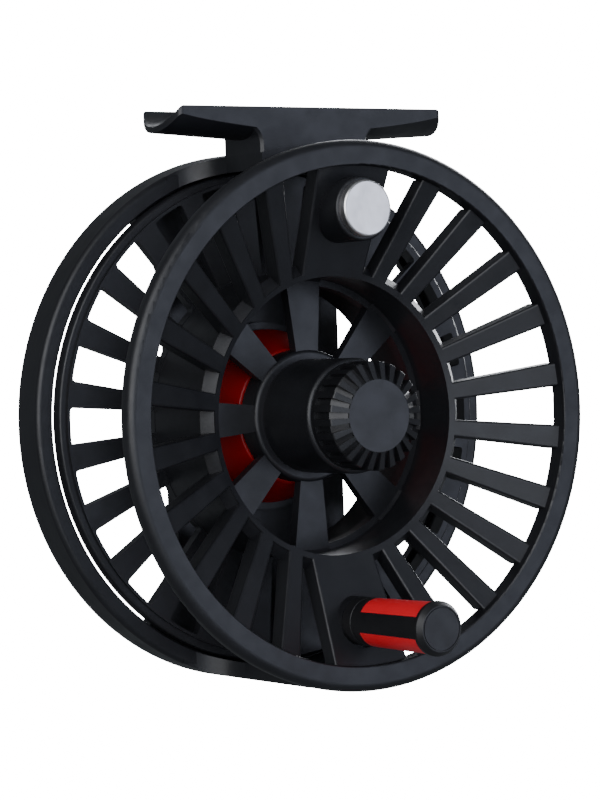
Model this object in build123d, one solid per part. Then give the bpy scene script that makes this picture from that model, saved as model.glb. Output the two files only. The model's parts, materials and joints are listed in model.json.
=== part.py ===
from build123d import *
import math
import os

# Fly reel, millimetres. Every function works in the reel's own frame: the spindle is the z axis,
# +z points to the handle side, +y up to the rod foot and +x along the rod. TO_ROW moves a
# finished solid into the part's frame: origin on the rod seat's axis, +Z up, handle side -Y.

# Overall
OUTER_R = 51.3          # outside of the spool rim and of the frame ring
SPINDLE_DROP = 63.1     # rod seat axis to spindle axis
FOOT_Z = 1.7            # middle of the foot's width
RUN = 0.05              # radial clearance of a running fit
FACE_GAP = 0.05         # gap between faces that slide on each other

# Spool
SLOT_COUNT = 24
RIM_IN_R = 46.5
RIM_FRONT = 22.9
RIM_BACK = 19.2
RIM_FRONT_ROUND = 1.6
RIM_BACK_ROUND = 1.5
CONE_FRONT = ((27.0, 12.93), (46.7, 21.28))     # radius and z of the front flange's front face
CONE_BACK = ((27.0, 8.6), (46.7, 17.6))
SPOKE_IN_W = 3.3
SPOKE_OUT_W = 4.6
PAD_IN_W = 14.0
PAD_OUT_W = 16.4
PAD_R = 38.4            # spindle to handle and counterweight
ARBOR_R = 27.4
DISH_R = 26.3
REAR_FRONT = -8.4
REAR_BACK = -10.4
LIP_R = 47.65
LIP_IN_R = 45.6
LIP_BACK = -11.6
LIP_FRONT = -8.9
REAR_SLOT = 8.7         # width of a rear slot, degrees
REAR_SLOT_ROUND = 0.6
FLOOR_FRONT = 3.25      # front and back of the dish's floor at the hub, and how far it drops outwards
FLOOR_BACK = 1.2
FLOOR_DROP = 0.7
FLOOR_BACK_DROP = 1.1
FLOOR_SPOKES = 8
FLOOR_IN_W = 4.7
FLOOR_OUT_W = 7.9
WINDOW_R = 25.0
FLOOR_BLEND = 0.6       # slope where a floor spoke meets the dish wall
HUB_BASE_R = 12.7
HUB_BASE_FRONT = 3.7
SKIRT_IN_R = 12.0       # skirt of the hub that covers the click
SKIRT_BACK = -1.0
HUB_R = 10.85
HUB_FRONT = 19.0
INSERT_R = 6.8
INSERT_FLANGE_R = 8.2
INSERT_FRONT = 12.0
NECK_BORE_R = 8.2
CLIP_Z = (15.2, 16.2)   # snap ring groove

# Release knob
KNOB_R = 10.2
KNOB_BACK = 19.15
KNOB_EDGE = 25.4
KNOB_FRONT = 26.6
KNOB_DISC_R = 6.7
KNOB_RIBS = 24
KNOB_TURN = -2.5        # where the ribs stand at rest
KNOB_RIB_BACK = 20.0
KNOB_GROOVE_DEPTH = 0.65        # how deep the grooves between the ribs are in the side
KNOB_GROOVE_DROP = 0.35         # and in the sloping front, at the disc
KNOB_GROOVE_SHARE = 0.52        # groove width as a share of the rib pitch
RELEASE_INSERT_R = 4.8
RELEASE_INSERT_FRONT = 24.0

# Counterweight and handle
WEIGHT_R = 5.3
WEIGHT_FRONT = 25.3
WEIGHT_BACK = 16.0
WEIGHT_BOSS_R = 6.0
WEIGHT_BOSS_FRONT = 23.7
HANDLE_SEAT = 18.4
HANDLE_COLLAR_R = 4.6
HANDLE_COLLAR_FRONT = 21.2
HANDLE_NECK_R = 4.5      # the grip widens from here to its cap
HANDLE_R = 4.8
HANDLE_GRIP_FRONT = 42.0
HANDLE_CAP_R = 5.05
HANDLE_CAP_EDGE = 42.7
HANDLE_CAP_FRONT = 43.7
HANDLE_DISC_R = 3.85     # flat disc inside the cap's groove
HANDLE_PIN_R = 2.2
HANDLE_PIN_FRONT = 40.4
HANDLE_PIN_HEAD_R = 3.6
HANDLE_BORE_STEP = 40.5  # the grip's bore widens here for the screw's head
HANDLE_BORE_R = 3.0
INLAY_COUNT = 3
INLAY_ARC = 70.0
INLAY_TURN = 85.0       # where the strips stand at rest
INLAY_BACK = 23.85
INLAY_DEPTH = 0.9

# Frame
RING_IN_R = 48.0
RING_FRONT = -10.9
RING_LIP_R = 47.0
RING_LIP_FRONT = -16.6
RING_BACK = -18.8
WEB_FRONT = -14.6
WEB_BACK = -18.2
WEB_WAIST = 19.4        # half width of the web beside the spindle
WEB_STRAIGHT = 22.0     # half length of its straight middle
WEB_ANGLE = 34.5        # where the web meets the ring, degrees from the vertical
BOSS_R = 18.3
BOSS_FRONT = -12.5
ARM_IN_R = 48.3
TOP_ARM_W = 24.0
TOP_ARM_FRONT = 8.5
BOTTOM_ARM_W = 24.0
BOTTOM_ARM_FRONT = 14.0
GUSSET_X = 21.5          # where an arm's root flares out to on the ring
GUSSET_Z = -4.0

# Foot
FOOT_L = 62.8
FOOT_W = 13.6
FOOT_END_R = 12.6       # plan radius of the foot's ends
SEAT_R = 8.25
UNDER_TIP = (7.9, 53.75)        # convex underside at the tip: its radius, and the height of its middle
UNDER_ROOT = (13.5, 52.6)       # the same beside the pillar
PILLAR_BACK = -5.1
PILLAR_TOP = 57.0               # inside the blade
PILLAR_EDGE = 0.5               # bevel round the pillar's front
BLEND_FRONT = (3.4, 54.9)       # blend of the pillar into the wings at its front: radius and top
BLEND_BACK = (0.4, 52.95)       # the same behind
BLEND_END = -1.0
FOOT_SCREW_Z = (-1.8, 5.2)
FOOT_SCREW_R = 1.25

# Drag housing and what it holds, from front to back
CUP_R = 16.9
CUP_SHOULDER = -11.0    # the housing's front is a cone from here
CUP_NOSE_R = 13.0
CUP_IN_R = 14.0
CUP_NARROW_R = 12.9
CUP_STEP = -7.2
CUP_FRONT = -1.5
CUP_WALL = -3.5
SPIGOT_R = 16.2
SPIGOT_BACK = -14.55
KEY_COUNT = 3
KEY_R = 11.7
KEY_W = 4.4
KEY_FRONT = -7.75
CUP_SCREW_PCD_R = 14.0
CUP_SCREW_R = 0.9
SPINDLE_R = 3.0
SPINDLE_FRONT = 21.0
SPINDLE_BACK = -16.2
CLUTCH_R = 5.5
ROTOR_R = 12.6
ROTOR_HUB_R = 7.0
WASHER_R = 12.4
SPRING_R = 11.4
ROTOR_Z = (-6.35, -4.75)
NUT_Z = (-13.4, -11.15)
PLATE_Z = (-9.05, -7.65)
STEM_R = 7.1
STEM_FRONT = -11.0
SHOULDER_R = 8.6
SHOULDER_Z = (-14.55, -13.65)
STEM_HEX_W = 8.0        # across flats
STEM_BACK = -24.0

# Drag knob
DRAG_KNOB_R = 15.0
DRAG_KNOB_FRONT = -18.7
DRAG_KNOB_BACK = -28.0
DRAG_KNOB_GRIPS = 20

# Click
RATCHET_TEETH = 30
RATCHET_R = 7.2
RATCHET_ROOT_R = 6.4
RATCHET_Z = (-0.95, 0.2)
PAWL_PIVOT = (9.7, -28.0)      # radius and angle of the pawl's pin
HEX_W = 9.0             # drive hexagon across flats

TO_ROW = Location((0, FOOT_Z, -SPINDLE_DROP), (90, 0, 0))


# ---------------------------------------------------------------- shape helpers

def disc(radius, back, front):
    """Solid cylinder on the z axis."""
    return Pos(0, 0, back) * extrude(Circle(radius), front - back)


def ring(outer, inner, back, front):
    """Tube on the z axis."""
    return Pos(0, 0, back) * extrude(Circle(outer) - Circle(inner), front - back)


def turned(points, rounds=()):
    """Solid turned about the z axis from (radius, z) points, with rounded corners."""
    outline = make_face(Polyline(*points, close=True))
    for point, radius in rounds:
        corner = outline.vertices().sort_by_distance((point[0], point[1], 0))[0]
        outline = fillet(corner, radius)
    return revolve(Plane.XZ * outline, Axis.Z)


def polar(radius, angle, z=0.0):
    """Place at a radius and angle, turned so that local x points outwards."""
    return Rot(0, 0, angle) * Pos(radius, 0, z)


def taper(inner_r, outer_r, inner_w, outer_w, back, front):
    """Radial bar along +x whose width changes from inner_w to outer_w."""
    outline = Polyline((inner_r, -inner_w / 2), (outer_r, -outer_w / 2),
                       (outer_r, outer_w / 2), (inner_r, inner_w / 2), close=True)
    return Pos(0, 0, back) * extrude(make_face(outline), front - back)


def sector(outer, inner, half_angle, back, front):
    """Piece of a tube, centred on +x."""
    a = math.radians(half_angle)
    mid_out, mid_in = (outer, 0), (inner, 0)
    top_out = (outer * math.cos(a), outer * math.sin(a))
    top_in = (inner * math.cos(a), inner * math.sin(a))
    edges = [ThreePointArc((top_out[0], -top_out[1]), mid_out, top_out),
             Line(top_out, top_in),
             ThreePointArc(top_in, mid_in, (top_in[0], -top_in[1])),
             Line((top_in[0], -top_in[1]), (top_out[0], -top_out[1]))]
    return Pos(0, 0, back) * extrude(make_face(edges), front - back)


def hexagon(across, back, front):
    """Hexagonal prism on the z axis, sized across its flats."""
    return Pos(0, 0, back) * extrude(RegularPolygon(across / 2, 6, major_radius=False), front - back)


def around(shape, count, start=0.0):
    return [Rot(0, 0, start + i * 360.0 / count) * shape for i in range(count)]


def cone_z(line, radius):
    """Height of a cone's face at a radius."""
    (r0, z0), (r1, z1) = line
    return z0 + (z1 - z0) * (radius - r0) / (r1 - r0)


# ---------------------------------------------------------------- spool

def spoke(in_w, out_w, edge_round):
    """One bar of the dished front flange, along +x."""
    band = turned([CONE_FRONT[0], CONE_FRONT[1], CONE_BACK[1], CONE_BACK[0]])
    bar = band & taper(20, 50, in_w - (out_w - in_w) * 0.36, out_w + (out_w - in_w) * 0.17, 5, 25)
    long_edges = [e for e in bar.edges() if abs(e.center().Y) > in_w * 0.3 and e.length > 12]
    return fillet(long_edges, edge_round)


def front_flange():
    bars = []
    bar = spoke(SPOKE_IN_W, SPOKE_OUT_W, 0.45)
    pitch = 360.0 / SLOT_COUNT
    for i in range(SLOT_COUNT):
        angle = (i + 0.5) * pitch
        if abs(abs(angle - 180) - 90) > pitch:
            bars.append(Rot(0, 0, angle) * bar)
    pad = spoke(PAD_IN_W, PAD_OUT_W, 0.45)
    bars += [Rot(0, 0, 90) * pad, Rot(0, 0, 270) * pad]
    rim = turned([(RIM_IN_R, RIM_BACK), (OUTER_R, RIM_BACK),
                  (OUTER_R, RIM_FRONT), (RIM_IN_R, RIM_FRONT)],
                 [((OUTER_R, RIM_FRONT), RIM_FRONT_ROUND), ((OUTER_R, RIM_BACK), RIM_BACK_ROUND),
                  ((RIM_IN_R, RIM_FRONT), 0.3), ((RIM_IN_R, RIM_BACK), 0.3)])
    return rim.fuse(*bars)


def arbor():
    """Thin drum between the flanges; its front edge is the dish's mouth, on the flange's cone."""
    return turned([(DISH_R, REAR_BACK), (ARBOR_R, REAR_BACK), (ARBOR_R, cone_z(CONE_FRONT, ARBOR_R)),
                   (DISH_R, cone_z(CONE_FRONT, DISH_R))])


def rear_flange():
    plate = ring(LIP_IN_R + 0.6, DISH_R + 0.3, REAR_BACK, REAR_FRONT)
    slot = sector(LIP_IN_R, ARBOR_R + 0.1, REAR_SLOT / 2, REAR_BACK - 1, REAR_FRONT + 1)
    slot = fillet(slot.edges().filter_by(Axis.Z), REAR_SLOT_ROUND)
    plate = plate.cut(*around(slot, SLOT_COUNT))
    lip = turned([(LIP_IN_R, LIP_BACK), (LIP_R, LIP_BACK), (LIP_R, LIP_FRONT), (LIP_IN_R, LIP_FRONT)],
                 [((LIP_R, LIP_FRONT), 0.5), ((LIP_R, LIP_BACK), 0.4)])
    return plate + lip


def dish_floor():
    """Eight spokes and an edge ring, sloping back a little from the hub to the dish's wall."""
    out_r = DISH_R + 0.5
    front, back = FLOOR_FRONT - FLOOR_DROP, FLOOR_BACK - FLOOR_BACK_DROP
    bar = taper(HUB_R, out_r, FLOOR_IN_W, FLOOR_OUT_W, back, FLOOR_FRONT)
    plate = turned([(HUB_R - 1, FLOOR_BACK), (HUB_BASE_R, FLOOR_BACK), (out_r, back), (out_r, front),
                    (HUB_BASE_R, FLOOR_FRONT), (HUB_R - 1, FLOOR_FRONT)])
    edge = ring(out_r, WINDOW_R, back, front)
    slope = turned([(DISH_R - FLOOR_BLEND, front - 0.1), (out_r, front - 0.1), (out_r, front + FLOOR_BLEND),
                    (DISH_R, front + FLOOR_BLEND), (DISH_R - FLOOR_BLEND, front)])
    blend = slope & taper(HUB_R, out_r, FLOOR_IN_W, FLOOR_OUT_W, back, FLOOR_FRONT + 1)
    return edge.fuse(*around(bar & plate, FLOOR_SPOKES), *around(blend, FLOOR_SPOKES))


def hub():
    base = turned([(HUB_R - 1, FLOOR_BACK), (HUB_BASE_R, FLOOR_BACK), (HUB_BASE_R, HUB_BASE_FRONT),
                   (HUB_R - 1, HUB_BASE_FRONT)], [((HUB_BASE_R, HUB_BASE_FRONT), 0.9)])
    skirt = ring(HUB_BASE_R, SKIRT_IN_R, SKIRT_BACK, FLOOR_BACK + 0.3)
    post = turned([(0, FLOOR_BACK), (HUB_R, FLOOR_BACK), (HUB_R, HUB_FRONT), (0, HUB_FRONT)],
                  [((HUB_R, HUB_FRONT), 0.8)])
    bores = disc(INSERT_R, FLOOR_BACK - 1, INSERT_FRONT) + disc(NECK_BORE_R, INSERT_FRONT, HUB_FRONT + 1)
    groove = ring(NECK_BORE_R + 0.6, NECK_BORE_R - 0.5, *CLIP_Z)
    return base + post + skirt - bores - groove


def weight_boss():
    boss = disc(WEIGHT_BOSS_R, cone_z(CONE_BACK, PAD_R), WEIGHT_BOSS_FRONT)
    return fillet(boss.edges().sort_by(Axis.Z)[-1], 0.5)


def handle_boss():
    return disc(HANDLE_COLLAR_R, cone_z(CONE_BACK, PAD_R) - 0.6, HANDLE_SEAT)


def spool():
    body = front_flange().fuse(arbor(), rear_flange(), dish_floor())
    body = body.fuse(hub(), polar(PAD_R, 90) * weight_boss(), polar(PAD_R, 270) * handle_boss())
    weight_pocket = disc(WEIGHT_R, WEIGHT_BACK, WEIGHT_FRONT + 1)
    spot_face = disc(HANDLE_COLLAR_R + 0.3, HANDLE_SEAT, HANDLE_SEAT + 6)
    pin_hole = disc(HANDLE_PIN_R, 5, HANDLE_SEAT + 1)
    pin_hole = pin_hole + disc(HANDLE_PIN_HEAD_R, 5, cone_z(CONE_BACK, PAD_R) - 0.6)
    return body.cut(polar(PAD_R, 90) * weight_pocket, polar(PAD_R, 270) * spot_face,
                    polar(PAD_R, 270) * pin_hole)


def hub_insert():
    """Brass bush of the spool, with a hexagonal pocket at its back."""
    flange = disc(INSERT_FLANGE_R, RATCHET_Z[1] + FACE_GAP, FLOOR_BACK)
    body = disc(INSERT_R, FLOOR_BACK, INSERT_FRONT) + flange
    pocket = hexagon(HEX_W + 0.2, RATCHET_Z[1], 4.9)
    return body - pocket - disc(SPINDLE_R + RUN, 0, INSERT_FRONT + 1)


def counterweight():
    return polar(PAD_R, 90) * turned([(0, WEIGHT_BACK), (WEIGHT_R, WEIGHT_BACK), (WEIGHT_R, WEIGHT_FRONT),
                                      (0, WEIGHT_FRONT)], [((WEIGHT_R, WEIGHT_FRONT), 0.5)])


def handle_pin():
    back = cone_z(CONE_BACK, PAD_R) - 0.6
    pin = disc(HANDLE_PIN_R, back, HANDLE_PIN_FRONT) + disc(HANDLE_PIN_HEAD_R, back - 1.2, back)
    return polar(PAD_R, 270) * (pin - disc(0.9, 33, 41))


# ---------------------------------------------------------------- handle, on its own axis

def grip_outside():
    """Outside of the grip, widening a little towards the cap."""
    return turned([(0, HANDLE_COLLAR_FRONT), (HANDLE_NECK_R, HANDLE_COLLAR_FRONT),
                   (HANDLE_R, HANDLE_GRIP_FRONT), (0, HANDLE_GRIP_FRONT)])


def inlay_strip(front):
    return sector(HANDLE_R + 1, HANDLE_NECK_R - INLAY_DEPTH, INLAY_ARC / 2, INLAY_BACK, front)


def handle_inlays():
    """Red strips set into the grip, flush with it."""
    strips = around(inlay_strip(HANDLE_GRIP_FRONT), INLAY_COUNT, INLAY_TURN)
    return [strip & grip_outside() for strip in strips]


def handle_grip():
    start = HANDLE_SEAT + 0.1
    collar = turned([(0, start), (HANDLE_COLLAR_R, start), (HANDLE_COLLAR_R, HANDLE_COLLAR_FRONT),
                     (0, HANDLE_COLLAR_FRONT)], [((HANDLE_COLLAR_R, start), 0.2),
                                                 ((HANDLE_COLLAR_R, HANDLE_COLLAR_FRONT), 0.15)])
    grooves = around(inlay_strip(HANDLE_GRIP_FRONT + 1), INLAY_COUNT, INLAY_TURN)
    body = collar.fuse(grip_outside()).cut(*grooves)
    bore = disc(HANDLE_PIN_R + RUN, start - 1, HANDLE_BORE_STEP)
    return body - bore - disc(HANDLE_BORE_R, HANDLE_BORE_STEP, HANDLE_GRIP_FRONT)


def handle_end_cap():
    """Cap that closes the grip, with a fine groove round its flat disc."""
    rim_r = HANDLE_CAP_R - (HANDLE_CAP_FRONT - HANDLE_CAP_EDGE) * 0.8
    cap = turned([(0, HANDLE_GRIP_FRONT), (HANDLE_CAP_R, HANDLE_GRIP_FRONT),
                  (HANDLE_CAP_R, HANDLE_CAP_EDGE), (rim_r, HANDLE_CAP_FRONT), (0, HANDLE_CAP_FRONT)],
                 [((HANDLE_CAP_R, HANDLE_CAP_EDGE), 0.25), ((rim_r, HANDLE_CAP_FRONT), 0.15)])
    return cap - ring(HANDLE_DISC_R + 0.16, HANDLE_DISC_R, HANDLE_CAP_FRONT - 0.3, HANDLE_CAP_FRONT + 1)


def handle_screw():
    return disc(2.8, 40.55, 41.9) + disc(0.9, 33.2, 40.55) - disc(0.8, 41.2, 42)


# ---------------------------------------------------------------- release knob

def release_knob():
    cap = turned([(0, KNOB_BACK), (KNOB_R, KNOB_BACK), (KNOB_R, KNOB_EDGE), (KNOB_DISC_R, KNOB_FRONT),
                  (0, KNOB_FRONT)], [((KNOB_R, KNOB_EDGE), 0.4), ((KNOB_DISC_R, KNOB_FRONT), 0.3)])
    groove_r = KNOB_R - KNOB_GROOVE_DEPTH
    disc_edge = KNOB_DISC_R + 0.1
    outside = turned([(groove_r, KNOB_RIB_BACK), (KNOB_R + 2, KNOB_RIB_BACK), (KNOB_R + 2, KNOB_FRONT + 2),
                      (disc_edge, KNOB_FRONT + 2), (disc_edge, KNOB_FRONT - KNOB_GROOVE_DROP),
                      (groove_r, KNOB_EDGE - 2 * KNOB_GROOVE_DEPTH)])
    half_angle = 360.0 / KNOB_RIBS * KNOB_GROOVE_SHARE / 2
    groove = outside & sector(KNOB_R + 3, KNOB_DISC_R - 1, half_angle, KNOB_RIB_BACK, KNOB_FRONT + 2)
    cap = cap.cut(*around(groove, KNOB_RIBS, KNOB_TURN))
    neck = disc(NECK_BORE_R - RUN, 13.0, KNOB_BACK)
    groove_in = ring(NECK_BORE_R + 1, NECK_BORE_R - 0.8, *CLIP_Z)
    return cap + neck - groove_in - disc(RELEASE_INSERT_R, 12, RELEASE_INSERT_FRONT)


def release_insert():
    bore = disc(SPINDLE_R + RUN, 12, SPINDLE_FRONT + 0.6)
    return disc(RELEASE_INSERT_R, 13.2, RELEASE_INSERT_FRONT) - bore


def release_ring():
    clip = ring(NECK_BORE_R + 0.55, NECK_BORE_R - 0.75, CLIP_Z[0] + 0.05, CLIP_Z[1] - 0.05)
    return clip - Pos(NECK_BORE_R, 0, 15.7) * Box(4, 3, 3)


# ---------------------------------------------------------------- frame and foot

def web():
    a = math.radians(WEB_ANGLE)
    x, y = RING_IN_R * math.sin(a), RING_IN_R * math.cos(a)
    waist, straight = WEB_WAIST, WEB_STRAIGHT
    outline = [Line((waist, -straight), (waist, straight)),
               TangentArc((waist, straight), (x, y), tangent=(0, 1)),
               ThreePointArc((x, y), (0, RING_IN_R + 0.5), (-x, y)),
               TangentArc((-waist, straight), (-x, y), tangent=(0, 1)),
               Line((-waist, straight), (-waist, -straight)),
               TangentArc((-waist, -straight), (-x, -y), tangent=(0, -1)),
               ThreePointArc((-x, -y), (0, -RING_IN_R - 0.5), (x, -y)),
               TangentArc((waist, -straight), (x, -y), tangent=(0, -1))]
    return Pos(0, 0, WEB_BACK) * extrude(make_face(outline), WEB_FRONT - WEB_BACK)


def web_pockets():
    """Four shallow recesses in the back of the web, between its ribs."""
    pocket = sector(44.0, 24.0, 11.0, WEB_BACK - 1, WEB_BACK + 1.3)
    return [Rot(0, 0, angle) * pocket for angle in (77, 103, 257, 283)]


def arm(width, front):
    """Curved arm along +x over the spool's edge, with flared roots on the ring."""
    half_w = width / 2
    outline = [Line((RING_FRONT - 1, -GUSSET_X), (RING_FRONT, -GUSSET_X)),
               arm_flare(-half_w), Line((GUSSET_Z, -half_w), (front, -half_w)),
               Line((front, -half_w), (front, half_w)), Line((front, half_w), (GUSSET_Z, half_w)),
               arm_flare(half_w), Line((RING_FRONT, GUSSET_X), (RING_FRONT - 1, GUSSET_X)),
               Line((RING_FRONT - 1, GUSSET_X), (RING_FRONT - 1, -GUSSET_X))]
    outline = Plane((0, 0, 0), x_dir=(0, 0, 1), z_dir=(1, 0, 0)) * make_face(outline)
    shell = ring(OUTER_R, ARM_IN_R, RING_FRONT - 1, front)
    return shell & (Pos(40, 0, 0) * extrude(outline, 14))


def arm_flare(half_w):
    """Concave edge from the ring out to the arm's side, in (z, y)."""
    side = math.copysign(GUSSET_X, half_w)
    mid = (RING_FRONT + 0.28 * (GUSSET_Z - RING_FRONT), half_w + 0.28 * (side - half_w))
    ends = [(RING_FRONT, side), (GUSSET_Z, half_w)]
    return ThreePointArc(ends[0], mid, ends[1])


def cup_screw_places():
    return [polar(CUP_SCREW_PCD_R, 30 + i * 360.0 / KEY_COUNT) for i in range(KEY_COUNT)]


def frame():
    rim = turned([(RING_LIP_R, RING_BACK), (OUTER_R, RING_BACK), (OUTER_R, RING_FRONT),
                  (RING_IN_R, RING_FRONT), (RING_IN_R, RING_LIP_FRONT), (RING_LIP_R, RING_LIP_FRONT)],
                 [((OUTER_R, RING_BACK), 0.7), ((OUTER_R, RING_FRONT), 1.0), ((RING_LIP_R, RING_BACK), 0.4),
                  ((RING_IN_R, RING_FRONT), 0.3)])
    boss = disc(BOSS_R, WEB_BACK, BOSS_FRONT)
    body = rim.fuse(web(), boss, Rot(0, 0, 90) * arm(TOP_ARM_W, TOP_ARM_FRONT),
                    Rot(0, 0, 270) * arm(BOTTOM_ARM_W, BOTTOM_ARM_FRONT))
    cuts = [disc(SPIGOT_R + 0.1, WEB_FRONT, BOSS_FRONT + 1)]
    cuts.append(disc(STEM_R + RUN, WEB_BACK - 1, WEB_FRONT + 1))
    cuts += web_pockets()
    for place in cup_screw_places():
        cuts.append(place * disc(CUP_SCREW_R + 0.1, WEB_BACK - 1, WEB_FRONT + 1))
        cuts.append(place * disc(1.8, WEB_BACK - 1, WEB_BACK + 1.4))
    cuts += [place * foot_screw_room() for place in foot_screw_places()]
    return body.cut(*cuts)


def foot_screw_places():
    """Screw axes, running up from the inside of the top arm."""
    return [Location((0, 0, z), (-90, 0, 0)) for z in FOOT_SCREW_Z]


def foot_screw_room():
    return turned([(0, 47), (2.6, 47), (2.6, 48.6), (FOOT_SCREW_R + 0.1, 50.0), (FOOT_SCREW_R + 0.1, 52),
                   (0, 52)])


def foot_screws():
    body = turned([(0, 48.65), (2.5, 48.65), (FOOT_SCREW_R, 49.95), (FOOT_SCREW_R, 53.6), (0, 53.6)])
    body = body - hexagon(1.9, 48, 49.6)
    return [place * body for place in foot_screw_places()]


def foot_plan():
    """Outline of the foot seen from the rod, extruded through its height."""
    half_w = FOOT_W / 2
    end = FOOT_L / 2
    side = end - (FOOT_END_R - math.sqrt(FOOT_END_R ** 2 - half_w ** 2))
    outline = [Line((-side, -half_w), (side, -half_w)),
               ThreePointArc((side, -half_w), (end, 0), (side, half_w)),
               Line((side, half_w), (-side, half_w)),
               ThreePointArc((-side, half_w), (-end, 0), (-side, -half_w))]
    plan = fillet(make_face(outline).vertices(), 1.2)
    return Location((0, 45, FOOT_Z), (-90, 0, 0)) * extrude(plan, 20)


def under_circle(x, size):
    """Section of a wing's underside at one place along the foot."""
    radius, middle = size
    return Location((x, middle + radius, FOOT_Z), (0, 90, 0)) * Circle(radius)


def foot_under(side):
    """Convex underside of one wing: a cone that narrows and rises towards the tip."""
    root, tip = side * TOP_ARM_W / 2, side * (FOOT_L / 2 + 0.5)
    wing = loft([under_circle(root, UNDER_ROOT), under_circle(tip, UNDER_TIP)], ruled=True)
    radius, middle = UNDER_ROOT
    centre = Location((root / 2, middle + radius, FOOT_Z), (0, 90, 0)) * Cylinder(radius, abs(root))
    return wing + centre


def blend_section(side, z, size):
    """Concave corner between the pillar's side and the underside, at one depth."""
    radius, top = size
    edge = side * TOP_ARM_W / 2
    far = edge + side * radius
    bend = radius * (1 - math.sqrt(0.5))
    outline = [Line((edge, top - radius), (edge, top)), Line((edge, top), (far, top)),
               ThreePointArc((far, top), (edge + side * bend, top - bend), (edge, top - radius))]
    return Pos(0, 0, z) * make_face(outline)


def pillar_outline(z, inset):
    """Front view of the pillar with its blends, at one depth and drawn in by the bevel."""
    radius, top = BLEND_FRONT
    half = TOP_ARM_W / 2
    low, bend = top - radius, (radius + inset) * math.sqrt(0.5)
    outline = [Line((-half + inset, 46), (half - inset, 46)), Line((half - inset, 46), (half - inset, low)),
               ThreePointArc((half - inset, low), (half + radius - bend, low + bend),
                             (half + radius, top + inset)),
               Line((half + radius, top + inset), (-half - radius, top + inset)),
               ThreePointArc((-half - radius, top + inset), (-half - radius + bend, low + bend),
                             (-half + inset, low)),
               Line((-half + inset, low), (-half + inset, 46))]
    return Pos(0, 0, z) * make_face(outline)


def pillar():
    """Block between the arm and the foot, blended into the wings towards its bevelled front."""
    half = TOP_ARM_W / 2
    bevel_z = TOP_ARM_FRONT - PILLAR_EDGE
    height, middle = PILLAR_TOP - 46, (PILLAR_TOP + 46) / 2
    block = Pos(0, middle, (bevel_z + PILLAR_BACK) / 2) * Box(2 * half, height, bevel_z - PILLAR_BACK)
    rear_edges = block.edges().filter_by(Axis.Y).group_by(Axis.Z)[0]
    block = chamfer(rear_edges, 0.7)
    nose = loft([pillar_outline(bevel_z, 0), pillar_outline(TOP_ARM_FRONT, PILLAR_EDGE)], ruled=True)
    blends = []
    for side in (-1, 1):
        near = blend_section(side, bevel_z, BLEND_FRONT)
        far = blend_section(side, BLEND_END, BLEND_BACK)
        blends.append(loft([near, far], ruled=True))
    return block.fuse(nose, *blends)


def reel_foot():
    """Saddle foot with the pillar that stands on the frame's top arm."""
    blade = foot_plan() & (foot_under(1) + foot_under(-1))
    body = blade + pillar()
    trough = Pos(0, SPINDLE_DROP, FOOT_Z) * (Rot(0, 90, 0) * Cylinder(SEAT_R, FOOT_L + 4))
    lid = Pos(0, SPINDLE_DROP + 5, FOOT_Z) * Box(FOOT_L + 4, 10, FOOT_W + 4)
    cuts = [trough, lid, disc(OUTER_R, -30, 30)]
    for place in foot_screw_places():
        cuts.append(place * disc(FOOT_SCREW_R, 48, 53.7))
    return body.cut(*cuts)


# ---------------------------------------------------------------- drag

def drag_housing():
    cup = turned([(0, CUP_FRONT), (CUP_NOSE_R, CUP_FRONT), (CUP_R, CUP_SHOULDER), (CUP_R, BOSS_FRONT),
                  (SPIGOT_R, BOSS_FRONT), (SPIGOT_R, SPIGOT_BACK), (CUP_IN_R, SPIGOT_BACK),
                  (CUP_IN_R, CUP_STEP), (CUP_NARROW_R, CUP_STEP), (CUP_NARROW_R, CUP_WALL), (0, CUP_WALL)],
                 [((CUP_NOSE_R, CUP_FRONT), 0.4)])
    key = Pos((KEY_R + CUP_IN_R + 0.3) / 2, 0, (KEY_FRONT + SPIGOT_BACK) / 2) * Box(
        CUP_IN_R + 0.3 - KEY_R, KEY_W, KEY_FRONT - SPIGOT_BACK)
    cup = cup.fuse(*around(key, KEY_COUNT, 30))
    cuts = [disc(5.0, CUP_WALL - 1, CUP_FRONT + 1), ring(SPIGOT_R + 1, SPIGOT_R - 0.55, -13.9, -13.0)]
    cuts += [place * disc(CUP_SCREW_R, SPIGOT_BACK - 1, -9.5) for place in cup_screw_places()]
    pin_r, pin_angle = PAWL_PIVOT
    cuts.append(polar(pin_r, pin_angle) * disc(0.8, CUP_WALL - 1, CUP_FRONT + 1))
    return cup.cut(*cuts)


def drum_seal():
    return ring(SPIGOT_R + 0.07, SPIGOT_R - 0.52, -13.85, -13.05)


def housing_screws():
    body = disc(CUP_SCREW_R, WEB_BACK + 1.4, -9.6) + disc(1.7, WEB_BACK + 0.1, WEB_BACK + 1.4)
    body = body - hexagon(1.4, WEB_BACK, WEB_BACK + 0.8)
    return [place * body for place in cup_screw_places()]


def front_bush():
    return ring(5.0, SPINDLE_R + RUN, CUP_WALL, CUP_FRONT + 0.15)


def rear_bush():
    return ring(4.6, SPINDLE_R + RUN, -16.4, -13.0)


def friction_washer(back, front, inner):
    return ring(WASHER_R, inner, back, front)


def drag_rotor():
    back, front = ROTOR_Z
    body = ring(ROTOR_R, CLUTCH_R, back, front) + ring(ROTOR_HUB_R, CLUTCH_R, -10.0, front)
    holes = [polar(10.5, 30 + i * 60) * disc(1.0, back - 1, front + 1) for i in range(6)]
    return body.cut(*holes)


def clutch_bearing():
    return ring(CLUTCH_R, SPINDLE_R, -10.3, -4.6)


def keyed_disc(inner, z_range):
    """Disc that slides on the housing's three keys."""
    body = ring(CUP_IN_R - 0.15, inner, *z_range)
    notch = Pos(CUP_IN_R, 0, sum(z_range) / 2) * Box(2 * (CUP_IN_R - KEY_R + 0.15), KEY_W + 0.3, 6)
    return body.cut(*around(notch, KEY_COUNT, 30))


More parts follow.
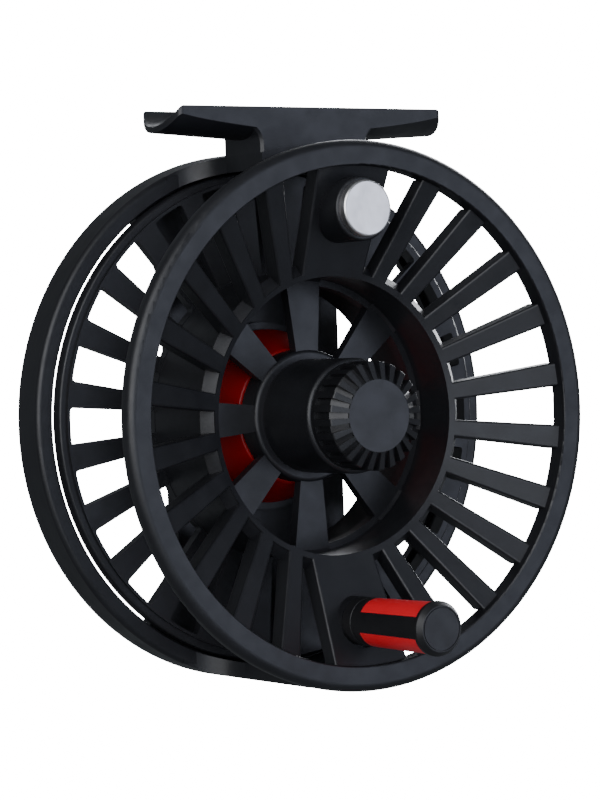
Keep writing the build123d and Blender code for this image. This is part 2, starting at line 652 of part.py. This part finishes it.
def spring_washers():
    """Two conical washers, outer edge to outer edge."""
    half = turned([(8.0, -11.1), (SPRING_R, -10.65), (SPRING_R, -10.13), (8.0, -10.58)])
    other = turned([(8.0, -9.62), (SPRING_R, -10.07), (SPRING_R, -9.55), (8.0, -9.1)])
    return [half, other]


def knob_stem():
    """Screw that the drag knob turns; its front end is threaded, its bore holds the rear bush."""
    body = disc(STEM_R, WEB_BACK - 0.2, STEM_FRONT) + disc(SHOULDER_R, *SHOULDER_Z)
    body = body + hexagon(STEM_HEX_W, STEM_BACK, WEB_BACK - 0.2)
    thread = ring(STEM_R + 1, STEM_R - 0.35, -13.2, -12.9)
    return body - disc(4.6, -16.6, STEM_FRONT + 1) - disc(1.25, STEM_BACK - 1, -18.9) - thread


def drag_knob():
    """Ribbed knob on the back of the frame."""
    r, front, back = DRAG_KNOB_R, DRAG_KNOB_FRONT, DRAG_KNOB_BACK
    body = turned([(0, front), (r, front), (r, back + 1.5), (r - 2.2, back), (r - 4.0, back),
                   (r - 5.0, back + 1.0), (0, back + 1.0)],
                  [((r, front), 0.5), ((r, back + 1.5), 0.6), ((r - 2.2, back), 0.5)])
    scallop = polar(r + 1.5, 0) * disc(2.2, back - 1, front - 1.4)
    hollow = ring(r - 2.2, 7.0, back + 3.4, front + 1)
    socket = hexagon(STEM_HEX_W + 0.02, STEM_BACK, front + 1)
    screw_hole = disc(1.6, back, STEM_BACK + 1)
    screw_head = disc(3.1, back, back + 2.6)
    return body.cut(hollow, socket, screw_hole, screw_head, *around(scallop, DRAG_KNOB_GRIPS))


def knob_screw():
    body = disc(1.25, -25.4, -19.2) + disc(2.9, -26.9, -25.4)
    return body - hexagon(2.5, -27, -26.0)


# ---------------------------------------------------------------- spindle and click

def spindle():
    body = turned([(0, SPINDLE_BACK), (SPINDLE_R, SPINDLE_BACK), (SPINDLE_R, SPINDLE_FRONT - 0.8),
                   (SPINDLE_R - 0.8, SPINDLE_FRONT), (0, SPINDLE_FRONT)])
    groove = ring(SPINDLE_R + 1, SPINDLE_R - 0.5, -11.0, -10.4)
    return body - groove


def spindle_clip():
    return ring(4.4, SPINDLE_R - 0.5, -10.95, -10.45) - Pos(4, 0, -10.7) * Box(4, 2.4, 2)


def drive_hub():
    body = hexagon(HEX_W, RATCHET_Z[1], 4.6) + disc(4.5, -1.25, RATCHET_Z[1])
    return body - disc(SPINDLE_R, -2, 5)


def click_ratchet():
    body = ring(RATCHET_R, 4.5, *RATCHET_Z)
    pitch = 360.0 / RATCHET_TEETH
    a = math.radians(pitch / 2)
    tip = RATCHET_R + 0.3
    valley = Polyline((RATCHET_ROOT_R, 0), (tip * math.cos(a), tip * math.sin(a)),
                      (tip * math.cos(a), -tip * math.sin(a)), close=True)
    cutter = Pos(0, 0, RATCHET_Z[0] - 1) * extrude(make_face(valley), 4)
    return body.cut(*around(cutter, RATCHET_TEETH, pitch / 2))


def pawl_axes():
    """Location at the pawl's pin, local x pointing to the spindle's side."""
    radius, angle = PAWL_PIVOT
    return polar(radius, angle)


def click_pawl():
    """Small lever beside the ratchet; its nose stands just clear of the teeth."""
    lever = Polyline((-0.7, 0.8), (-1.9, 1.8), (-2.75, 2.6), (-2.6, 3.1), (-1.5, 3.3), (1.0, 0.8),
                     close=True)
    body = disc(1.3, -1.35, -0.1) + Pos(0, 0, -1.35) * extrude(make_face(lever), 1.25)
    return pawl_axes() * (body - disc(0.8 + RUN, -2, 1))


def pawl_pin():
    return pawl_axes() * (disc(0.8, CUP_WALL, 0.25) + disc(1.25, -0.05, 0.45))


def click_spring():
    """Leaf spring behind the pawl, on a post on the housing's face."""
    leaf = Pos(-0.9, 4.05, -0.85) * Box(3.8, 0.25, 1.0)
    return pawl_axes() * (Pos(-2.3, 4.8, 0) * disc(0.8, CUP_FRONT, -0.3) + leaf)


# ---------------------------------------------------------------- assembly

def build_parts():
    handle_place = Rot(0, 0, 270) * Pos(PAD_R, 0, 0)
    nodes = {
        "frame": frame(), "reel_foot": reel_foot(), "foot_screws": foot_screws(),
        "drag_housing": drag_housing(), "housing_screws": housing_screws(), "drum_seal": drum_seal(),
        "front_bush": front_bush(),
        "friction_washer_front": friction_washer(-4.7, CUP_WALL, 6.0),
        "friction_washer_rear": friction_washer(-7.6, -6.4, 7.4),
        "pressure_plate": keyed_disc(7.4, PLATE_Z), "spring_washers": spring_washers(),
        "thrust_nut": keyed_disc(STEM_R + RUN, NUT_Z),
        "knob_stem": knob_stem(), "rear_bush": rear_bush(), "drag_knob": drag_knob(),
        "knob_screw": knob_screw(),
        "click_pawl": click_pawl(), "pawl_pin": pawl_pin(), "click_spring": click_spring(),
        "spindle": spindle(), "drag_rotor": drag_rotor(), "clutch_bearing": clutch_bearing(),
        "spindle_clip": spindle_clip(), "drive_hub": drive_hub(), "click_ratchet": click_ratchet(),
        "spool": spool(), "hub_insert": hub_insert(), "counterweight": counterweight(),
        "handle_pin": handle_pin(), "release_ring": release_ring(),
        "release_knob": release_knob(), "release_insert": release_insert(),
        "handle_grip": place(handle_place, handle_grip()),
        "handle_inlays": place(handle_place, handle_inlays()),
        "handle_end_cap": place(handle_place, handle_end_cap()),
        "handle_screw": place(handle_place, handle_screw()),
    }
    return {name: place(TO_ROW, shape) for name, shape in nodes.items()}


def place(location, shape):
    """Move one solid, or a list of solids that share a node."""
    if isinstance(shape, list):
        return [location * piece for piece in shape]
    return location * shape


def main():
    os.makedirs("parts", exist_ok=True)
    for name, shape in build_parts().items():
        body = Compound(children=shape) if isinstance(shape, list) else shape
        export_step(body, f"parts/{name}.step")


main()
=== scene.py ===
import json
import math

import bmesh
import bpy
from mathutils import Matrix, Vector


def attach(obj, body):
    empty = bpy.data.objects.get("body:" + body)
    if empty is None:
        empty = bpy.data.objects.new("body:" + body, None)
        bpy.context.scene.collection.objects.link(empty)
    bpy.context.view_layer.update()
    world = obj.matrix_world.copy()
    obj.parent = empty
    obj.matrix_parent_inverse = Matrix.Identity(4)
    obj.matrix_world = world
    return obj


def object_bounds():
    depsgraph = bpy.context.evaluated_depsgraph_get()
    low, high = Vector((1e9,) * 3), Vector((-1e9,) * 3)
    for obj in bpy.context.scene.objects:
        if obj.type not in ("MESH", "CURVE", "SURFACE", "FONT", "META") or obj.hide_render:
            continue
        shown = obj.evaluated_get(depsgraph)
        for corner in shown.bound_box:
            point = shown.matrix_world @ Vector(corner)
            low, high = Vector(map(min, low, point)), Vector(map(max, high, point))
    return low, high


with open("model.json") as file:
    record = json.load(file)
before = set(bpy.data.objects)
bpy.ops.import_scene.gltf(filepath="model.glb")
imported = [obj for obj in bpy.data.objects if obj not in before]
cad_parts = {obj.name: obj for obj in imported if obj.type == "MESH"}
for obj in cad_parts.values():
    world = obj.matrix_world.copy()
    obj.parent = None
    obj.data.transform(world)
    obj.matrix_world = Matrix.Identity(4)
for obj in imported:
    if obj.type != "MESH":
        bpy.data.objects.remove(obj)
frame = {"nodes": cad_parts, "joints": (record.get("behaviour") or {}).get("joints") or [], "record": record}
cad_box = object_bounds()


# ---------------------------------------------------------------- sizes

MM = 0.001
MERGE = 0.02 * MM                   # points this close are one point

# camera
AZIMUTH = math.radians(33.51)       # how far the camera stands round to the left of the handle side
ROLL = math.radians(2.5)            # how far the reel looks turned about its spindle
DISTANCE = 558.7 * MM               # from the aim point on the spindle
LENS = 130.9
SENSOR = 36.0
SHIFT_Y = 0.0197
CLIP_NEAR = 0.01
CLIP_FAR = 20.0

# the arbor's shoulder; depths are forward of the plane of the spool's joint
SHOULDER_IN_R = 27.2 * MM
SHOULDER_OUT_R = 29.3 * MM
SHOULDER_FRONT = 13.0 * MM
SHOULDER_DROP = 2.0 * MM            # fall of the sloping face from its inner to its outer edge
SHOULDER_DEPTH = 4.2 * MM
SHOULDER_STEPS = 192

# floor
FLOOR_GAP = 0.4 * MM                # under the reel's lowest point
FLOOR_R = 2.2                       # flat part, metres
FLOOR_BEND = 0.9
FLOOR_WALL = 4.5
FLOOR_STEPS = 14
FLOOR_SIDES = 72
FLOOR_WHITE = (0.90, 0.90, 0.90)
FLOOR_PATCH = 0.985                 # the darker patches' share of the white
FLOOR_ROUGH = 0.8
FLOOR_GLOW = 18.0

# light
AMBIENT = 0.16
AMBIENT_COLOUR = (0.85, 0.92, 1.0)
KEY_POWER = 18.0
FILL_POWER = 5.5
FRONT_POWER = 4.4
BACK_POWER = 32.0

# noise in the materials: its scale per metre and its levels of detail
MOTTLE = (70.0, 4.0)
SHEEN = (240.0, 3.0)
GRAIN = (1500.0, 2.0)
METAL_MOTTLE = (120.0, 4.0)
METAL_SHEEN = (300.0, 3.0)
METAL_GRAIN = (900.0, 2.0)
FLOOR_MOTTLE = (6.0, 3.0)
NOISE_ROUGH = 0.55
NOISE_LOW = 0.35                    # most of a noise lies between these two
NOISE_HIGH = 0.65

SHEEN_SPREAD = 0.05                 # roughness varies by this much each way
METAL_SHEEN_SPREAD = 0.06
GRAIN_DEPTH = 0.02 * MM
METAL_GRAIN_DEPTH = 0.004 * MM
GRAIN_STRENGTH = 0.5


# ---------------------------------------------------------------- places, from the frame

def joint(name):
    return next(j for j in frame["joints"] if j["name"] == name)


SPINDLE = Vector(joint("spool_spin")["pos_m"])      # on the spindle's axis, in the joint's plane


# ---------------------------------------------------------------- camera

def make_camera():
    """Camera aimed at the spindle; returns its right, back and up directions."""
    data = bpy.data.cameras.new("camera")
    data.lens = LENS
    data.sensor_width = SENSOR
    data.shift_y = SHIFT_Y
    data.clip_start = CLIP_NEAR
    data.clip_end = CLIP_FAR
    cam = bpy.data.objects.new("camera", data)
    bpy.context.scene.collection.objects.link(cam)
    turn = Matrix.Rotation(ROLL, 3, "Y")
    right = turn @ Vector((math.cos(AZIMUTH), -math.sin(AZIMUTH), 0))
    back = turn @ Vector((-math.sin(AZIMUTH), -math.cos(AZIMUTH), 0))
    up = turn @ Vector((0, 0, 1))
    place = Matrix((right, up, back)).transposed().to_4x4()
    place.translation = SPINDLE + back * DISTANCE
    cam.matrix_world = place
    bpy.context.scene.camera = cam
    return right, back, up


VIEW_RIGHT, VIEW_BACK, VIEW_UP = make_camera()


# ---------------------------------------------------------------- material parts

def material(name):
    mat = bpy.data.materials.new(name)
    mat.use_nodes = True
    tree = mat.node_tree
    tree.nodes.clear()
    out = tree.nodes.new("ShaderNodeOutputMaterial")
    shader = tree.nodes.new("ShaderNodeBsdfPrincipled")
    tree.links.new(shader.outputs["BSDF"], out.inputs["Surface"])
    return mat, tree, shader


def noise(tree, texture):
    scale, detail = texture
    coord = tree.nodes.new("ShaderNodeTexCoord")
    tex = tree.nodes.new("ShaderNodeTexNoise")
    tex.inputs["Scale"].default_value = scale
    tex.inputs["Detail"].default_value = detail
    tex.inputs["Roughness"].default_value = NOISE_ROUGH
    tree.links.new(coord.outputs["Object"], tex.inputs["Vector"])
    return tex.outputs["Fac"]


def remap(tree, value, low, high):
    """Spreads the middle of a noise over low to high."""
    node = tree.nodes.new("ShaderNodeMapRange")
    node.inputs["From Min"].default_value = NOISE_LOW
    node.inputs["From Max"].default_value = NOISE_HIGH
    node.inputs["To Min"].default_value = low
    node.inputs["To Max"].default_value = high
    tree.links.new(value, node.inputs["Value"])
    return node.outputs["Result"]


def mottle_colour(tree, shader, texture, dark, light):
    node = tree.nodes.new("ShaderNodeMix")
    node.data_type = "RGBA"
    tree.links.new(remap(tree, noise(tree, texture), 0.0, 1.0), node.inputs["Factor"])
    node.inputs["A"].default_value = (*dark, 1)
    node.inputs["B"].default_value = (*light, 1)
    tree.links.new(node.outputs["Result"], shader.inputs["Base Color"])


def vary_roughness(tree, shader, texture, rough, spread):
    sheen = remap(tree, noise(tree, texture), rough - spread, rough + spread)
    tree.links.new(sheen, shader.inputs["Roughness"])


def grain_bump(tree, shader, texture, depth):
    node = tree.nodes.new("ShaderNodeBump")
    node.inputs["Strength"].default_value = GRAIN_STRENGTH
    node.inputs["Distance"].default_value = depth
    tree.links.new(noise(tree, texture), node.inputs["Height"])
    tree.links.new(node.outputs["Normal"], shader.inputs["Normal"])


# ---------------------------------------------------------------- materials

def moulded(name, dark, light, rough):
    """Moulded plastic, rubber, lining or matt anodising: mottled colour, uneven sheen, fine grain."""
    mat, tree, shader = material(name)
    mottle_colour(tree, shader, MOTTLE, dark, light)
    vary_roughness(tree, shader, SHEEN, rough, SHEEN_SPREAD)
    shader.inputs["Specular IOR Level"].default_value = 0.5
    grain_bump(tree, shader, GRAIN, GRAIN_DEPTH)
    return mat


def metal(name, dark, light, rough):
    """Bare metal with a slightly clouded colour, an uneven polish and a faint grain."""
    mat, tree, shader = material(name)
    shader.inputs["Metallic"].default_value = 1.0
    mottle_colour(tree, shader, METAL_MOTTLE, dark, light)
    vary_roughness(tree, shader, METAL_SHEEN, rough, METAL_SHEEN_SPREAD)
    grain_bump(tree, shader, METAL_GRAIN, METAL_GRAIN_DEPTH)
    return mat


def glowing_white(name):
    """White that shines by itself, so that the floor shows evenly pale."""
    mat, tree, shader = material(name)
    patch = tuple(channel * FLOOR_PATCH for channel in FLOOR_WHITE)
    mottle_colour(tree, shader, FLOOR_MOTTLE, patch, FLOOR_WHITE)
    shader.inputs["Roughness"].default_value = FLOOR_ROUGH
    shader.inputs["Specular IOR Level"].default_value = 0.0
    shader.inputs["Emission Color"].default_value = (1, 1, 1, 1)
    shader.inputs["Emission Strength"].default_value = FLOOR_GLOW
    return mat


# for each material slot: darker colour, lighter colour, roughness
MOULDED = {
    "black_composite": ((0.0075, 0.0078, 0.0095), (0.0105, 0.0110, 0.0130), 0.42),
    "black_frame": ((0.0070, 0.0073, 0.0090), (0.0100, 0.0105, 0.0125), 0.42),
    "foot_black": ((0.0085, 0.0090, 0.0110), (0.0120, 0.0125, 0.0150), 0.40),
    "knob_black": ((0.0075, 0.0078, 0.0090), (0.0110, 0.0113, 0.0130), 0.38),
    "grip_black": ((0.0070, 0.0070, 0.0078), (0.0110, 0.0110, 0.0120), 0.44),
    "red_plastic": ((0.86, 0.012, 0.022), (0.95, 0.018, 0.030), 0.40),
    "red_anodised": ((0.30, 0.002, 0.003), (0.38, 0.003, 0.005), 0.42),
    "seal_rubber": ((0.010, 0.010, 0.010), (0.016, 0.016, 0.016), 0.6),
    "friction_lining": ((0.05, 0.04, 0.035), (0.09, 0.07, 0.06), 0.8),
}
METALS = {
    "polished_steel": ((0.80, 0.78, 0.76), (0.90, 0.88, 0.86), 0.34),
    "screw_steel": ((0.30, 0.30, 0.31), (0.42, 0.42, 0.43), 0.32),
    "spring_steel": ((0.22, 0.22, 0.25), (0.34, 0.34, 0.37), 0.35),
    "brass": ((0.62, 0.45, 0.16), (0.72, 0.55, 0.24), 0.30),
    "bronze": ((0.42, 0.26, 0.12), (0.52, 0.34, 0.17), 0.45),
    "aluminium": ((0.55, 0.55, 0.56), (0.66, 0.66, 0.67), 0.34),
}
MATERIALS = {name: moulded(name, *look) for name, look in MOULDED.items()}
MATERIALS.update({name: metal(name, *look) for name, look in METALS.items()})


def paint_nodes():
    """Gives every CAD node the material of its slot in the record."""
    slots = {part["node"]: part["material_slot"] for part in frame["record"]["subparts"]}
    for name, node in frame["nodes"].items():
        node.data.materials.clear()
        node.data.materials.append(MATERIALS[slots[name]])


paint_nodes()


# ---------------------------------------------------------------- meshes turned about an axis

def turned_mesh(name, profile, closed, axis, steps, centre):
    """Mesh of a profile turned all round an axis, then moved to a centre."""
    work = bmesh.new()
    points = [work.verts.new(point) for point in profile]
    ends = points[1:] + points[:1] if closed else points[1:]
    edges = [work.edges.new(pair) for pair in zip(points, ends)]
    bmesh.ops.spin(work, geom=points + edges, cent=(0, 0, 0), axis=axis, dvec=(0, 0, 0),
                   angle=2 * math.pi, steps=steps)
    bmesh.ops.remove_doubles(work, verts=work.verts, dist=MERGE)
    if closed:
        bmesh.ops.recalc_face_normals(work, faces=work.faces)
    bmesh.ops.translate(work, verts=work.verts, vec=centre)
    mesh = bpy.data.meshes.new(name)
    work.to_mesh(mesh)
    work.free()
    return mesh


def show(name, mesh, finish):
    piece = bpy.data.objects.new(name, mesh)
    piece.data.materials.append(finish)
    bpy.context.scene.collection.objects.link(piece)
    return piece


# ---------------------------------------------------------------- the arbor's shoulder

def arbor_shoulder():
    """Sloping inner ends of the front flange's slots: a thin ring on the arbor behind the spokes."""
    section = [
        (SHOULDER_IN_R, -SHOULDER_FRONT, 0),
        (SHOULDER_OUT_R, SHOULDER_DROP - SHOULDER_FRONT, 0),
        (SHOULDER_IN_R, SHOULDER_DEPTH - SHOULDER_FRONT, 0),
    ]
    mesh = turned_mesh("arbor_shoulder", section, True, (0, 1, 0), SHOULDER_STEPS, SPINDLE)
    piece = show("arbor_shoulder", mesh, MATERIALS["black_composite"])
    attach(piece, "spool_group")


arbor_shoulder()


# ---------------------------------------------------------------- floor

def make_floor():
    """Pale round floor that curves up into a wall all round, seen by the camera alone."""
    profile = [(0, 0, 0), (FLOOR_R, 0, 0)]
    for i in range(1, FLOOR_STEPS + 1):
        turn = math.pi / 2 * i / FLOOR_STEPS
        across = FLOOR_R + FLOOR_BEND * math.sin(turn)
        profile.append((across, 0, FLOOR_BEND * (1 - math.cos(turn))))
    profile.append((FLOOR_R + FLOOR_BEND, 0, FLOOR_WALL))
    level = Vector((0, 0, cad_box[0].z - FLOOR_GAP))
    mesh = turned_mesh("floor", profile, False, (0, 0, 1), FLOOR_SIDES, level)
    for face in mesh.polygons:
        face.use_smooth = True
    floor = show("floor", mesh, glowing_white("floor_white"))
    floor.visible_glossy = False
    floor.visible_diffuse = False
    floor.visible_shadow = False


# ---------------------------------------------------------------- light

def area_light(name, offset, size, power, colour):
    """Softbox at an offset from the spindle: right, up and towards the camera, in metres."""
    data = bpy.data.lights.new(name, "AREA")
    data.shape = "RECTANGLE"
    data.size, data.size_y = size
    data.energy = power
    data.color = colour
    light = bpy.data.objects.new(name, data)
    right, up, near = offset
    reach = VIEW_RIGHT * right + VIEW_UP * up + VIEW_BACK * near
    light.location = SPINDLE + reach
    light.rotation_euler = reach.to_track_quat("Z", "Y").to_euler()
    light.visible_camera = False
    bpy.context.scene.collection.objects.link(light)


def make_light():
    """A broad softbox beside the camera, two cool ones on the right, and one behind the reel."""
    world = bpy.data.worlds.new("studio")
    world.use_nodes = True
    background = world.node_tree.nodes["Background"]
    background.inputs["Color"].default_value = (*AMBIENT_COLOUR, 1)
    background.inputs["Strength"].default_value = AMBIENT
    bpy.context.scene.world = world
    area_light("key", (-0.30, 0.35, 1.30), (1.3, 1.3), KEY_POWER, (0.95, 0.96, 1.0))
    area_light("fill", (1.35, 0.10, 0.62), (0.9, 1.1), FILL_POWER, (0.74, 0.80, 1.0))
    area_light("front", (0.55, 0.05, 1.40), (0.6, 1.1), FRONT_POWER, (0.80, 0.86, 1.0))
    area_light("back", (0.55, 0.60, -1.30), (1.0, 1.0), BACK_POWER, (0.93, 0.95, 1.0))


make_floor()
make_light()

bpy.context.view_layer.update()
